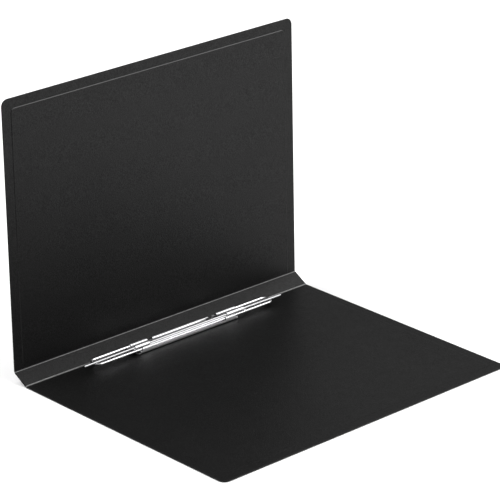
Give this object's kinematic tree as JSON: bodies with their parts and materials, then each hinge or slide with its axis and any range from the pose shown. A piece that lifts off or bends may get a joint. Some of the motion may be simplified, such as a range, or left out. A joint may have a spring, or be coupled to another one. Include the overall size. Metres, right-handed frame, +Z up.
{
  "type": "clamp file",
  "caption": "Creased plastic document folder lying open, with a swinging wire frame, presser rod and snap lever that clamp unpunched sheets along the spine.",
  "frame": {"origin": "middle of the back cover's underside, which lies on the desk", "axes": "+X along the spine, +Y from the open edge of the back cover towards the spine, +Z up"},
  "size_m": [0.307, 0.2514, 0.2345],
  "materials": {
    "cover_plastic": "fine leather grain",
    "plated_sheet": "bright nickel plate",
    "plated_wire": "bright nickel plate",
    "rivet_steel": "satin nickel plate"
  },
  "bodies": {
    "back": {"back_cover": "cover_plastic", "base_plate": "plated_sheet", "base_rivet_left": "rivet_steel", "base_rivet_right": "rivet_steel"},
    "spine": {"spine_panel": "cover_plastic"},
    "front": {"front_cover": "cover_plastic"},
    "frame": {"wire_frame": "plated_wire"},
    "presser": {"presser_plate": "plated_sheet", "presser_rod": "plated_wire", "lever_rivet": "rivet_steel"},
    "lever": {"lever": "plated_sheet"}
  },
  "joints": [
    {"name": "spine_fold", "type": "hinge", "parent": "back", "child": "spine", "pos_m": [0, 0.1155, 0.0006], "axis": [1, 0, 0], "range_deg": [-30, 60]},
    {"name": "front_fold", "type": "hinge", "parent": "spine", "child": "front", "pos_m": [0, 0.12936, 0.0086], "axis": [1, 0, 0], "range_deg": [-58.5, 31.5]},
    {"name": "frame_swing", "type": "hinge", "parent": "back", "child": "frame", "pos_m": [0, 0.102, 0.0048], "axis": [-1, 0, 0], "range_deg": [-65, 0]},
    {"name": "presser_swing", "type": "hinge", "parent": "frame", "child": "presser", "pos_m": [0, 0.1122, 0.0048], "axis": [1, 0, 0], "range_deg": [-110, 0]},
    {"name": "lever_lift", "type": "hinge", "parent": "presser", "child": "lever", "pos_m": [-0.023, 0.1101, 0.00395], "axis": [0, 1, 0], "range_deg": [-80, 0]}
  ]
}
